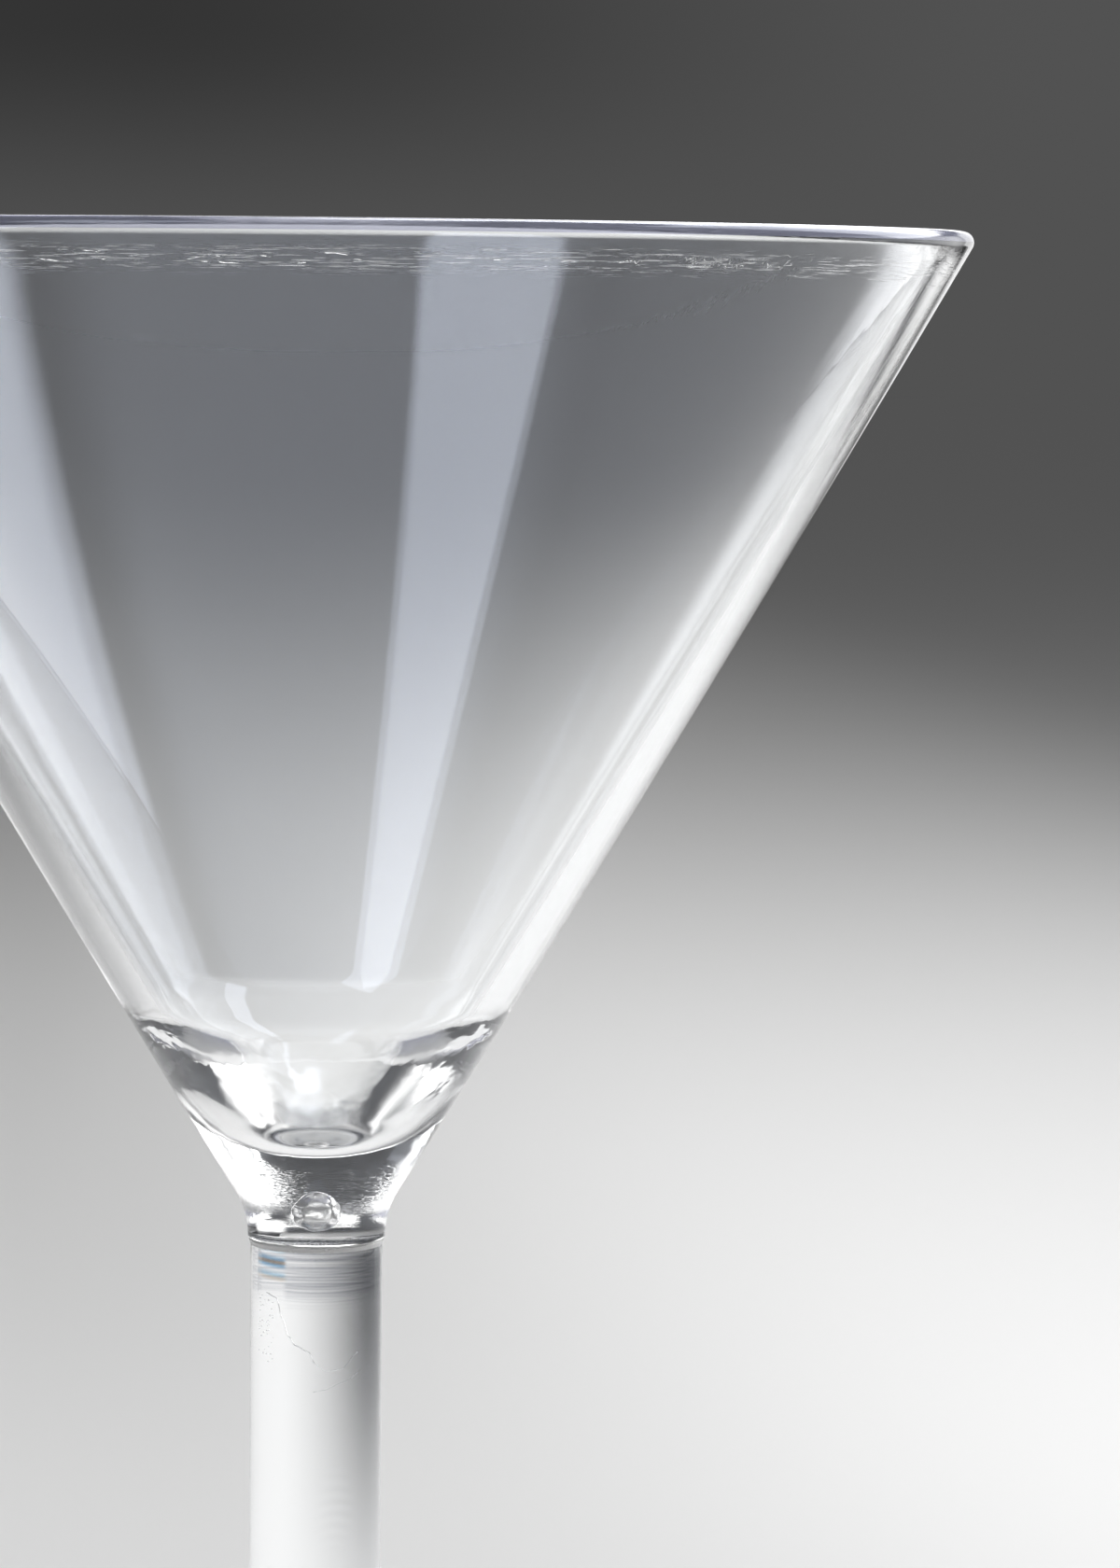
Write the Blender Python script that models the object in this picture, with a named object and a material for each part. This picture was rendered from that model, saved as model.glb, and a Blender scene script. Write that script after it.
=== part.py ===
# Plastic martini glass: a moulded bowl and foot, each with a spigot cemented into a bored rod.
# Metres, +Z up. The glass stands on z = 0 and its axis is the world Z axis.
import math

import bmesh
import bpy

# Bowl
rim_radius = 0.0582
lip_radius = 0.0010
bowl_height = 0.09135
side_crown = 0.0004
neck_height = 0.0022
neck_step = 0.00025
neck_land = 0.0001
base_thickness = 0.0100
floor_radius = 0.0040
shoulder_height = 0.01135
shoulder_wall = 0.0032
shoulder_round = 0.0140

# Stem
stem_radius = 0.0060
stem_length = 0.07455
socket_wall = 0.0021
edge_chamfer = 0.0003

# Foot
foot_radius = 0.0390
foot_edge_height = 0.0024
foot_dome_rise = 0.0016
foot_neck_height = 0.0045
foot_neck_land = 0.0002
foot_top_round = 0.0010
foot_bottom_round = 0.0006
standing_ring_width = 0.0064
recess_depth = 0.0008

# Cemented joints, alike at both ends of the stem
spigot_length = 0.0100
spigot_chamfer = 0.0004
cement_film = 0.0004
cement_pool = 0.0008
fit_gap = 0.00025
joint_gap = 0.0003

# Mesh fineness
turn_steps = 60
arc_steps = 6
lip_steps = 10
wall_steps = 8

# Places worked out from the sizes above
foot_dome_z = foot_edge_height + foot_dome_rise
foot_land_z = foot_dome_z + foot_neck_height
stem_bottom_z = foot_land_z + joint_gap
stem_top_z = stem_bottom_z + stem_length
bowl_joint_z = stem_top_z + joint_gap
rim_z = bowl_joint_z + bowl_height
floor_z = bowl_joint_z + base_thickness
shoulder_z = floor_z + shoulder_height
neck_radius = stem_radius + neck_step
bore_radius = stem_radius - socket_wall
cement_outer_radius = bore_radius - fit_gap
cement_inner_radius = cement_outer_radius - cement_film
spigot_radius = cement_inner_radius - fit_gap
socket_depth = spigot_length - joint_gap + 2 * fit_gap + cement_pool


def clear_scene():
    for old in list(bpy.data.objects):
        bpy.data.objects.remove(old, do_unlink=True)


def plastic(name, colour, roughness, transmission, refraction):
    """A clear or milky moulded plastic."""
    made = bpy.data.materials.new(name)
    made.use_nodes = True
    shader = made.node_tree.nodes["Principled BSDF"]
    shader.inputs["Base Color"].default_value = (*colour, 1.0)
    shader.inputs["Roughness"].default_value = roughness
    shader.inputs["Metallic"].default_value = 0.0
    shader.inputs["Transmission Weight"].default_value = transmission
    shader.inputs["IOR"].default_value = refraction
    return made


def round_corner(before, corner, after, radius):
    """Points of the arc that rounds one corner of an outline."""
    to_before = (before[0] - corner[0], before[1] - corner[1])
    to_after = (after[0] - corner[0], after[1] - corner[1])
    start_turn = math.atan2(to_before[1], to_before[0])
    opening = math.atan2(to_after[1], to_after[0]) - start_turn
    opening = (opening + math.pi) % (2 * math.pi) - math.pi
    half = opening / 2
    reach = radius / abs(math.sin(half))
    centre_turn = start_turn + half
    centre = (corner[0] + reach * math.cos(centre_turn), corner[1] + reach * math.sin(centre_turn))
    sweep = math.pi - abs(opening)
    first = start_turn - math.copysign(math.pi / 2, half)
    points = []
    for step in range(arc_steps + 1):
        turn = first - math.copysign(sweep * step / arc_steps, half)
        points.append((centre[0] + radius * math.cos(turn), centre[1] + radius * math.sin(turn)))
    return points


def rounded(corners):
    """An outline of (radius, height, corner radius) turned into points, with its corners rounded."""
    points = [corners[0][:2]]
    for before, corner, after in zip(corners, corners[1:], corners[2:]):
        if corner[2] > 0:
            points += round_corner(before, corner, after, corner[2])
        else:
            points.append(corner[:2])
    points.append(corners[-1][:2])
    return points


def turned(name, corners, finish):
    """A closed solid of revolution about Z, from an outline that starts and ends on the axis or closes."""
    points = rounded(corners)
    mesh = bmesh.new()
    line = [mesh.verts.new((radius, 0.0, height)) for radius, height in points]
    edges = [mesh.edges.new(pair) for pair in zip(line, line[1:])]
    bmesh.ops.spin(
        mesh,
        geom=line + edges,
        axis=(0.0, 0.0, 1.0),
        cent=(0.0, 0.0, 0.0),
        angle=2 * math.pi,
        steps=turn_steps,
        use_merge=True,
    )
    bmesh.ops.remove_doubles(mesh, verts=mesh.verts, dist=1e-6)
    if mesh.calc_volume(signed=True) < 0:
        bmesh.ops.reverse_faces(mesh, faces=mesh.faces)
    data = bpy.data.meshes.new(name)
    mesh.to_mesh(data)
    mesh.free()
    data.materials.append(finish)
    data.shade_smooth()
    data.set_sharp_from_angle(angle=math.radians(32))
    made = bpy.data.objects.new(name, data)
    bpy.context.scene.collection.objects.link(made)
    return made


def spigot(joint_z, outward):
    """Outline of a spigot from its chamfered end on the axis back to the joint face."""
    end_z = joint_z + outward * spigot_length
    return [
        (0.0, end_z, 0.0),
        (spigot_radius - spigot_chamfer, end_z, 0.0),
        (spigot_radius, end_z - outward * spigot_chamfer, 0.0),
        (spigot_radius, joint_z, 0.0),
    ]


def fillet_for(run, before, corner, after):
    """The largest corner radius whose arc uses no more than the given run of either side."""
    first = math.atan2(before[1] - corner[1], before[0] - corner[0])
    second = math.atan2(after[1] - corner[1], after[0] - corner[0])
    opening = abs((second - first + math.pi) % (2 * math.pi) - math.pi)
    return run * math.tan(opening / 2)


def bowl_wall():
    """The slightly crowned outer cone, from above the neck to the lip, and the lip's centre and slant."""
    lip_centre = (rim_radius - lip_radius, rim_z - lip_radius)
    neck_corner = (neck_radius, bowl_joint_z + neck_height)
    slant = math.atan2(lip_centre[0] - neck_corner[0], lip_centre[1] - neck_corner[1])
    top = (lip_centre[0] + lip_radius * math.cos(slant), lip_centre[1] - lip_radius * math.sin(slant))

    def at(share):
        crown = 4 * side_crown * share * (1 - share)
        radius = neck_corner[0] + (top[0] - neck_corner[0]) * share + crown
        return (radius, neck_corner[1] + (top[1] - neck_corner[1]) * share, 0.0)

    wall = [at(step / wall_steps) for step in range(1, wall_steps)]
    shoulder_share = (shoulder_z - neck_corner[1]) / (top[1] - neck_corner[1])
    return wall, lip_centre, slant, at(shoulder_share)


def make_bowl(finish):
    wall, lip_centre, slant, outside_shoulder = bowl_wall()
    neck_end = (neck_radius, bowl_joint_z, 0.0)
    neck_corner = (neck_radius, bowl_joint_z + neck_height)
    neck_fillet = fillet_for(neck_height - neck_land, neck_end, neck_corner, wall[0])
    outline = spigot(bowl_joint_z, -1)
    outline.append(neck_end)
    outline.append((*neck_corner, neck_fillet))
    outline += wall
    for step in range(lip_steps + 1):
        turn = -slant + math.pi * step / lip_steps
        radius = lip_centre[0] + lip_radius * math.cos(turn)
        outline.append((radius, lip_centre[1] + lip_radius * math.sin(turn), 0.0))
    # the inner wall is crowned like the outer one, so the wall stays even
    inside_top = outline[-1]
    shoulder = (outside_shoulder[0] - shoulder_wall, outside_shoulder[1])
    for step in range(wall_steps - 1, 0, -1):
        share = step / wall_steps
        crown = 4 * side_crown * share * (1 - share)
        radius = shoulder[0] + (inside_top[0] - shoulder[0]) * share + crown
        outline.append((radius, shoulder[1] + (inside_top[1] - shoulder[1]) * share, 0.0))
    # the hollow ends in a round tip that takes nearly all of the floor
    floor_centre = (0.0, floor_z, 0.0)
    floor_corner = (floor_radius, floor_z)
    tip_round = fillet_for(0.95 * floor_radius, shoulder, floor_corner, floor_centre)
    outline.append((*shoulder, shoulder_round))
    outline.append((*floor_corner, tip_round))
    outline.append(floor_centre)
    return turned("bowl", outline, finish)


def make_stem(finish):
    outer = stem_radius - edge_chamfer
    mouth = bore_radius + edge_chamfer
    lower_floor_z = stem_bottom_z + socket_depth
    upper_floor_z = stem_top_z - socket_depth
    outline = [
        (0.0, lower_floor_z, 0.0),
        (bore_radius, lower_floor_z, 0.0),
        (bore_radius, stem_bottom_z + edge_chamfer, 0.0),
        (mouth, stem_bottom_z, 0.0),
        (outer, stem_bottom_z, 0.0),
        (stem_radius, stem_bottom_z + edge_chamfer, 0.0),
        (stem_radius, stem_top_z - edge_chamfer, 0.0),
        (outer, stem_top_z, 0.0),
        (mouth, stem_top_z, 0.0),
        (bore_radius, stem_top_z - edge_chamfer, 0.0),
        (bore_radius, upper_floor_z, 0.0),
        (0.0, upper_floor_z, 0.0),
    ]
    return turned("stem", outline, finish)


def make_foot(finish):
    land = (neck_radius, foot_land_z, 0.0)
    dome = (neck_radius, foot_dome_z)
    edge = (foot_radius, foot_edge_height, min(foot_top_round, foot_edge_height / 2))
    bottom_round = min(foot_bottom_round, foot_edge_height / 2)
    neck_fillet = fillet_for(foot_neck_height - foot_neck_land, land, dome, edge)
    ring_inner = foot_radius - bottom_round - standing_ring_width
    outline = spigot(foot_land_z, 1)
    outline += [
        land,
        (*dome, neck_fillet),
        edge,
        (foot_radius, 0.0, bottom_round),
        (ring_inner, 0.0, 0.0),
        (ring_inner - recess_depth, recess_depth, 0.0),
        (0.0, recess_depth, 0.0),
    ]
    return turned("foot", outline, finish)


def make_cement(name, joint_z, outward, finish):
    """The cured cement of one joint: a cup round the spigot, with its pool at the socket's end."""
    mouth_z = joint_z + outward * (joint_gap + edge_chamfer)
    inner_z = joint_z + outward * (spigot_length + fit_gap)
    outer_z = inner_z + outward * cement_pool
    outline = [
        (0.0, inner_z, 0.0),
        (cement_inner_radius, inner_z, 0.0),
        (cement_inner_radius, mouth_z, 0.0),
        (cement_outer_radius, mouth_z, 0.0),
        (cement_outer_radius, outer_z, 0.0),
        (0.0, outer_z, 0.0),
    ]
    return turned(name, outline, finish)


def build():
    clear_scene()
    bowl_plastic = plastic("clear_bowl_plastic", (0.95, 0.96, 0.97), 0.03, 1.0, 1.57)
    stem_plastic = plastic("clear_stem_plastic", (0.95, 0.96, 0.97), 0.05, 1.0, 1.57)
    foot_plastic = plastic("clear_foot_plastic", (0.95, 0.96, 0.97), 0.04, 1.0, 1.57)
    bowl_cement = plastic("bowl_joint_cement", (0.92, 0.93, 0.93), 0.20, 0.9, 1.50)
    foot_cement = plastic("foot_joint_cement", (0.92, 0.93, 0.93), 0.20, 0.9, 1.50)
    make_bowl(bowl_plastic)
    make_stem(stem_plastic)
    make_foot(foot_plastic)
    make_cement("bowl_cement", bowl_joint_z, -1, bowl_cement)
    make_cement("foot_cement", foot_land_z, 1, foot_cement)


build()
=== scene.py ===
import math
import random

import bpy
from mathutils import Matrix, Vector


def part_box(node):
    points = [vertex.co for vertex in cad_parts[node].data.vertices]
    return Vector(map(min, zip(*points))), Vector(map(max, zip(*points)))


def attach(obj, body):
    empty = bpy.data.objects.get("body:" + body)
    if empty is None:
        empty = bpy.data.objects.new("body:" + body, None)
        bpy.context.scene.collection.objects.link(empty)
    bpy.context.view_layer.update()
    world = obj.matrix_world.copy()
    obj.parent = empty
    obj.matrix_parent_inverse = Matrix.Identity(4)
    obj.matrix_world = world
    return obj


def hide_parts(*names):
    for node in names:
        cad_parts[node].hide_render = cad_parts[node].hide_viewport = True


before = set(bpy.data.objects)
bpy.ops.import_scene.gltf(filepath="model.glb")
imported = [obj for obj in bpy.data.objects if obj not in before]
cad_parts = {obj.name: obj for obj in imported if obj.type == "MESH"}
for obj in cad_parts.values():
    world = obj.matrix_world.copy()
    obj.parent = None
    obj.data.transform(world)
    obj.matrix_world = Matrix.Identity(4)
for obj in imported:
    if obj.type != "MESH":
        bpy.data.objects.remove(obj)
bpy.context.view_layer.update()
mm = 0.001

# Limits past every place where a band matters, for a band that is open on one side
noStart = (-2, -1)
noEnd = (8, 9)

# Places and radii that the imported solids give
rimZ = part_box("bowl")[1].z
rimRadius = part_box("bowl")[1].x
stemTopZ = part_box("stem")[1].z
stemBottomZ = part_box("stem")[0].z
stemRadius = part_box("stem")[1].x
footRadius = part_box("foot")[1].x
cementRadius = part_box("bowl_cement")[1].x


def toLinear(hexColour):
    channels = [int(hexColour[place:place + 2], 16) / 255 for place in (1, 3, 5)]
    curve = [c / 12.92 if c < 0.04045 else ((c + 0.055) / 1.055) ** 2.4 for c in channels]
    return (*curve, 1.0)


def addNode(tree, kind, settings=None, links=None):
    node = tree.nodes.new(kind)
    for name, value in (settings or {}).items():
        if isinstance(name, str) and hasattr(node, name):
            setattr(node, name, value)
        else:
            node.inputs[name].default_value = value
    for name, source in (links or {}).items():
        tree.links.new(source, node.inputs[name])
    return node


def deselectAll():
    if bpy.context.object and bpy.context.object.mode != "OBJECT":
        bpy.ops.object.mode_set(mode="OBJECT")
    bpy.ops.object.select_all(action="DESELECT")


def roundCorner(before, corner, after, radius, steps):
    startTurn = math.atan2(before[1] - corner[1], before[0] - corner[0])
    opening = math.atan2(after[1] - corner[1], after[0] - corner[0]) - startTurn
    opening = (opening + math.pi) % (2 * math.pi) - math.pi
    side = math.copysign(1.0, opening)
    reach = radius / math.sin(abs(opening) / 2)
    centreTurn = startTurn + opening / 2
    centreR = corner[0] + reach * math.cos(centreTurn)
    centreZ = corner[1] + reach * math.sin(centreTurn)
    sweep = math.pi - abs(opening)
    turns = [startTurn - side * (math.pi / 2 + sweep * step / steps) for step in range(steps + 1)]
    return [(centreR + radius * math.cos(turn), centreZ + radius * math.sin(turn)) for turn in turns]


def roundedOutline(corners, steps):
    # corners are (radius, height, corner radius); the ends stay sharp
    points = [corners[0][:2]]
    for before, corner, after in zip(corners, corners[1:], corners[2:]):
        if corner[2] > 0:
            points += roundCorner(before, corner, after, corner[2], steps)
        else:
            points.append(corner[:2])
    return points + [corners[-1][:2]]


def filletFor(run, before, corner, after):
    first = math.atan2(before[1] - corner[1], before[0] - corner[0])
    second = math.atan2(after[1] - corner[1], after[0] - corner[0])
    opening = abs((second - first + math.pi) % (2 * math.pi) - math.pi)
    return run * math.tan(opening / 2)


# Turned pieces: the gap that is closed, in millimetres, and the angle that is still shaded smooth
latheSizes = {
    "mergeGap": 0.002,
    "smoothAngle": 34,
}


def turnOnLathe(name, outline, turnSteps):
    # one vertex is drawn out along the outline, then spun once round the axis
    deselectAll()
    bpy.ops.mesh.primitive_plane_add(size=mm)
    piece = bpy.context.object
    piece.name = name
    bpy.ops.object.mode_set(mode="EDIT")
    bpy.ops.mesh.select_all(action="SELECT")
    bpy.ops.mesh.merge(type="CENTER")
    bpy.ops.transform.translate(value=(outline[0][0], 0, outline[0][1]))
    for here, there in zip(outline, outline[1:]):
        step = (there[0] - here[0], 0, there[1] - here[1])
        bpy.ops.mesh.extrude_vertices_move(TRANSFORM_OT_translate={"value": step})
    bpy.ops.mesh.select_all(action="SELECT")
    bpy.ops.mesh.spin(steps=turnSteps, angle=2 * math.pi, center=(0, 0, 0), axis=(0, 0, 1))
    bpy.ops.mesh.select_all(action="SELECT")
    bpy.ops.mesh.remove_doubles(threshold=latheSizes["mergeGap"] * mm)
    bpy.ops.mesh.normals_make_consistent(inside=False)
    bpy.ops.object.mode_set(mode="OBJECT")
    bpy.ops.object.shade_smooth_by_angle(angle=math.radians(latheSizes["smoothAngle"]))
    piece.data.name = name
    print("turned", name, len(piece.data.polygons), "faces")
    return piece


def finishPiece(piece, material, nodes):
    piece.data.materials.clear()
    piece.data.materials.append(material)
    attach(piece, "root")
    if nodes:
        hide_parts(*nodes)


# In the finishes below, lengths are in millimetres and turns in degrees.
# Clear styrene: hard, bright reflections with a cool cast, and next to no colour of its own
clearStyrene = {
    "tint": "#FBFCFD",
    "reflectionTint": "#E4ECFF",
    "ior": 1.57,
}


def startPlastic(name, look):
    material = bpy.data.materials.new(name)
    material.use_nodes = True
    shader = material.node_tree.nodes["Principled BSDF"]
    shader.inputs["Base Color"].default_value = toLinear(look["tint"])
    shader.inputs["Specular Tint"].default_value = toLinear(look["reflectionTint"])
    shader.inputs["Transmission Weight"].default_value = 1.0
    shader.inputs["IOR"].default_value = look["ior"]
    return material, material.node_tree, shader


def addRelief(tree, shader, layers):
    # layers are (pattern from 0 to 1, mask or None, height in metres), added up into one bump
    total = None
    for pattern, mask, height in layers:
        layer = addNode(tree, "ShaderNodeMath", {"operation": "MULTIPLY", 1: height}, {0: pattern})
        if mask:
            links = {0: layer.outputs[0], 1: mask}
            layer = addNode(tree, "ShaderNodeMath", {"operation": "MULTIPLY"}, links)
        if total:
            links = {0: layer.outputs[0], 1: total}
            layer = addNode(tree, "ShaderNodeMath", {"operation": "ADD"}, links)
        total = layer.outputs[0]
    bump = addNode(tree, "ShaderNodeBump", {"Strength": 1.0, "Distance": 1.0}, {"Height": total})
    tree.links.new(bump.outputs[0], shader.inputs["Normal"])


def addGrain(tree, place, size, detail=1.0):
    # a pattern whose grains are size millimetres along x, y and z
    scale = [1 / (side * mm) for side in size]
    fitted = addNode(tree, "ShaderNodeMapping", {"Scale": scale}, {"Vector": place}).outputs[0]
    grain = addNode(tree, "ShaderNodeTexNoise", {"Scale": 1.0, "Detail": detail}, {"Vector": fitted})
    return grain.outputs["Fac"]


def addBand(tree, source, rise, fall):
    # 1 between rise and fall, each given as (start, end), and 0 outside them
    sides = []
    for low, high in (rise, fall[::-1]):
        sides.append(addNode(tree, "ShaderNodeMapRange", {
            "interpolation_type": "SMOOTHSTEP",
            1: low,
            2: high,
        }, {0: source}).outputs[0])
    return addNode(tree, "ShaderNodeMath", {"operation": "MULTIPLY"}, {0: sides[0], 1: sides[1]}).outputs[0]


# The part of the pattern that smears: nothing below the first value, and full from the second on
smearCut = (0.55, 0.75)


def addSmears(tree, place, size, roughest):
    # patches of faint haze, such as fingers leave
    grain = addGrain(tree, place, [size] * 3, detail=4.0)
    return addNode(tree, "ShaderNodeMapRange", {
        1: smearCut[0],
        2: smearCut[1],
        3: 0.0,
        4: roughest,
    }, {0: grain}).outputs[0]


# Bowl: sizes in millimetres; tipShare is a share of floorRadius, and wallFrom the wall's first step
bowlSizes = {
    "lipRadius": 1.0,
    "sideCrown": 0.4,
    "neckHeight": 2.2,
    "neckStep": 0.25,
    "neckLand": 0.1,
    "jointGap": 0.3,
    "baseThickness": 10.0,
    "shoulderHeight": 11.35,
    "shoulderWall": 3.2,
    "shoulderRound": 14.0,
    "floorRadius": 4.0,
    "tipShare": 0.95,
    "bondMargin": 0.6,
    "wallSteps": 40,
    "wallFrom": 3,
    "arcSteps": 14,
    "lipSteps": 24,
    "turnSteps": 320,
}
jointZ = stemTopZ + bowlSizes["jointGap"] * mm
weldRadius = stemRadius - bowlSizes["bondMargin"] * mm


def bowlOutline():
    sizes = {key: value * mm for key, value in bowlSizes.items()}
    lip = sizes["lipRadius"]
    lipR, lipZ = rimRadius - lip, rimZ - lip
    neckR = stemRadius + sizes["neckStep"]
    neckZ = jointZ + sizes["neckHeight"]
    slant = math.atan2(lipR - neckR, lipZ - neckZ)
    topR, topZ = lipR + lip * math.cos(slant), lipZ - lip * math.sin(slant)

    def wallAt(share):
        crown = 4 * sizes["sideCrown"] * share * (1 - share)
        return (neckR + (topR - neckR) * share + crown, neckZ + (topZ - neckZ) * share, 0)

    steps = range(bowlSizes["wallFrom"], bowlSizes["wallSteps"])
    wall = [wallAt(step / bowlSizes["wallSteps"]) for step in steps]
    neckEnd = (neckR, jointZ, 0)
    neckCorner = (neckR, neckZ)
    neckFillet = filletFor(sizes["neckHeight"] - sizes["neckLand"], neckEnd, neckCorner, wall[0])
    corners = [(0, jointZ, 0), (weldRadius, jointZ, 0), neckEnd, (*neckCorner, neckFillet), *wall]
    for step in range(bowlSizes["lipSteps"] + 1):
        turn = -slant + math.pi * step / bowlSizes["lipSteps"]
        corners.append((lipR + lip * math.cos(turn), lipZ + lip * math.sin(turn), 0))
    floorZ = jointZ + sizes["baseThickness"]
    shoulderZ = floorZ + sizes["shoulderHeight"]
    shoulderR = wallAt((shoulderZ - neckZ) / (topZ - neckZ))[0] - sizes["shoulderWall"]
    innerTop = corners[-1]
    for step in reversed(steps):
        share = step / bowlSizes["wallSteps"]
        crown = 4 * sizes["sideCrown"] * share * (1 - share)
        innerR = shoulderR + (innerTop[0] - shoulderR) * share + crown
        corners.append((innerR, shoulderZ + (innerTop[1] - shoulderZ) * share, 0))
    # the hollow ends in a round tip that takes nearly all of the floor
    floorCorner = (sizes["floorRadius"], floorZ)
    tipRun = bowlSizes["tipShare"] * sizes["floorRadius"]
    tipRound = filletFor(tipRun, (shoulderR, shoulderZ), floorCorner, (0, floorZ))
    corners.append((shoulderR, shoulderZ, sizes["shoulderRound"]))
    corners.append((*floorCorner, tipRound))
    corners.append((0, floorZ, 0))
    return roundedOutline(corners, bowlSizes["arcSteps"])


# The bowl came from a polished mould: flow ripples make its reflections waver, most on the right by
# the rim and in the thick base; hair scratches under the rim and faint smears catch the light, and a
# grainy back of the base breaks up what shows through it
bowlFinish = {
    "rippleSize": 9.0,
    "rippleHeight": 0.004,
    "streakSize": (0.9, 3.0, 16.0),
    "streakHeight": 0.004,
    "streakLean": 31,
    "streakFrom": (20, 42),
    "streakBelowRim": (45, 18),
    "wavesSize": 3.5,
    "wavesHeight": 0.035,
    "wavesAboveJoint": (0, 1, 14, 27),
    "scratchSize": (4.0, 4.0, 0.09),
    "scratchDepth": 0.002,
    "scratchCut": (0.62, 0.68),
    "scratchBelowRim": (4.4, 3.4, 2.4, 2.0),
    "smearSize": 11.0,
    "smearRoughness": 0.03,
    "grainSize": 0.11,
    "grainHeight": 0.012,
    "grainFrom": (0, 3),
    "grainAboveJoint": (0.5, 2.0, 9.0, 12.0),
    "tipHaze": 0.13,
    "tipSlope": 0.6,
    "tipInside": (2.0, 3.2),
    "tipAboveJoint": (8.5, 9.2, 11.0, 20.0),
}


def makeBowlPlastic():
    material, tree, shader = startPlastic("styrenePolishedMoulding", clearStyrene)
    finish = bowlFinish
    place = addNode(tree, "ShaderNodeTexCoord").outputs["Object"]
    split = addNode(tree, "ShaderNodeSeparateXYZ", links={"Vector": place})
    across, height = split.outputs["X"], split.outputs["Z"]
    ripple = addGrain(tree, place, [finish["rippleSize"]] * 3)
    leaned = addNode(tree, "ShaderNodeMapping", {
        "Rotation": (0, math.radians(-finish["streakLean"]), 0),
    }, {"Vector": place})
    streak = addGrain(tree, leaned.outputs[0], finish["streakSize"], detail=2.0)
    rightStart = [value * mm for value in finish["streakFrom"]]
    rimStart = [rimZ - value * mm for value in finish["streakBelowRim"]]
    onRight = addNode(tree, "ShaderNodeMath", {"operation": "MULTIPLY"}, {
        0: addBand(tree, across, rightStart, noEnd),
        1: addBand(tree, height, rimStart, noEnd),
    }).outputs[0]
    waves = addGrain(tree, place, [finish["wavesSize"]] * 3, detail=2.0)
    baseEnds = [jointZ + value * mm for value in finish["wavesAboveJoint"]]
    onBase = addBand(tree, height, baseEnds[:2], baseEnds[2:])
    hairs = addGrain(tree, place, finish["scratchSize"], detail=2.0)
    scratch = addNode(tree, "ShaderNodeMapRange", {
        1: finish["scratchCut"][0],
        2: finish["scratchCut"][1],
    }, {0: hairs}).outputs[0]
    scratchEnds = [rimZ - value * mm for value in finish["scratchBelowRim"]]
    underRim = addBand(tree, height, scratchEnds[:2], scratchEnds[2:])
    grain = addGrain(tree, place, [finish["grainSize"]] * 3, detail=2.0)
    backStart = [value * mm for value in finish["grainFrom"]]
    grainEnds = [jointZ + value * mm for value in finish["grainAboveJoint"]]
    atBack = addNode(tree, "ShaderNodeMath", {"operation": "MULTIPLY"}, {
        0: addBand(tree, split.outputs["Y"], backStart, noEnd),
        1: addBand(tree, height, grainEnds[:2], grainEnds[2:]),
    }).outputs[0]
    addRelief(tree, shader, [
        (ripple, None, finish["rippleHeight"] * mm),
        (streak, onRight, finish["streakHeight"] * mm),
        (waves, onBase, finish["wavesHeight"] * mm),
        (scratch, underRim, -finish["scratchDepth"] * mm),
        (grain, atBack, finish["grainHeight"] * mm),
    ])
    # stirring has dulled the bottom of the hollow, which softens what shows through it
    flat = addNode(tree, "ShaderNodeVectorMath", {"operation": "MULTIPLY", 1: (1, 1, 0)}, {0: place})
    fromAxis = addNode(tree, "ShaderNodeVectorMath", {"operation": "LENGTH"}, {0: flat.outputs[0]})
    # less than tipInside only on the hollow's side of the wall, which leans by tipSlope
    fromCone = addNode(tree, "ShaderNodeMath", {"operation": "MULTIPLY_ADD", 1: -finish["tipSlope"]}, {
        0: height,
        2: fromAxis.outputs["Value"],
    })
    tipEnds = [jointZ + value * mm for value in finish["tipAboveJoint"]]
    tipInside = [value * mm - finish["tipSlope"] * jointZ for value in finish["tipInside"]]
    atTip = addNode(tree, "ShaderNodeMath", {"operation": "MULTIPLY"}, {
        0: addBand(tree, fromCone.outputs[0], noStart, tipInside),
        1: addBand(tree, height, tipEnds[:2], tipEnds[2:]),
    })
    haze = addNode(tree, "ShaderNodeMath", {"operation": "MULTIPLY_ADD", 1: finish["tipHaze"]}, {
        0: atTip.outputs[0],
        2: addSmears(tree, place, finish["smearSize"], finish["smearRoughness"]),
    })
    tree.links.new(haze.outputs[0], shader.inputs["Roughness"])
    return material


# Shrink void in the thick base, an air bubble on the axis: sizes in millimetres, lookReach in heights
voidSizes = {
    "height": 3.7,
    "width": 3.0,
    "tall": 5.2,
    "lumps": 0.10,
    "lumpSeed": 4,
    "lookReach": 0.6,
}
# Its wall is rough where the plastic shrank away, so it looks like a frosted bead in the clear base
voidFinish = {
    "tint": "#FFFFFF",
    "reflectionTint": "#FFFFFF",
    "ior": 1.57,
    "clear": 0.80,
    "roughness": 0.22,
    "frostSize": 0.5,
    "frostHeight": 0.02,
}


def makeVoidLook():
    material, tree, shader = startPlastic("styreneShrinkVoid", voidFinish)
    place = addNode(tree, "ShaderNodeTexCoord").outputs["Object"]
    shader.inputs["Transmission Weight"].default_value = voidFinish["clear"]
    shader.inputs["Roughness"].default_value = voidFinish["roughness"]
    frost = addGrain(tree, place, [voidFinish["frostSize"]] * 3, detail=3.0)
    addRelief(tree, shader, [(frost, None, voidFinish["frostHeight"] * mm)])
    return material


# Air bubbles: how often a plain one and a lumpy one are divided, and how often the lumps are smoothed
bubbleSteps = {
    "plain": 2,
    "lumpy": 3,
    "smoothing": 2,
}


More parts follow.
